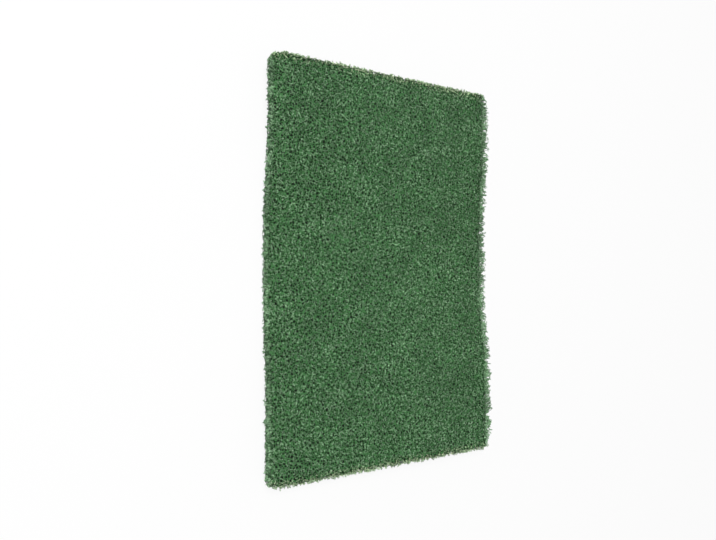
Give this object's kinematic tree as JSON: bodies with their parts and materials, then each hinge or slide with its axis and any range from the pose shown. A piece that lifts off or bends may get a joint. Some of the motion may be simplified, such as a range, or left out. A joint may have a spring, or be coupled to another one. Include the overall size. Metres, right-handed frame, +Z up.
{
  "type": "non-woven abrasive pad",
  "caption": "Rectangular non-woven abrasive hand pad: a thin green web of crimped, resin-bonded fibre with cut edges, lying with its ends slightly curled up, for scouring and hand finishing.",
  "frame": {"origin": "on the surface that the pad lies on, under the middle of its outline", "axes": "+Y along the pad's length, +X across its width, +Z up through its thickness, towards the face that the curled ends lean to"},
  "size_m": [0.152, 0.229, 0.0136],
  "materials": {
    "fibre_web": "matt"
  },
  "bodies": {
    "root": {"abrasive_pad": "fibre_web"}
  },
  "joints": []
}
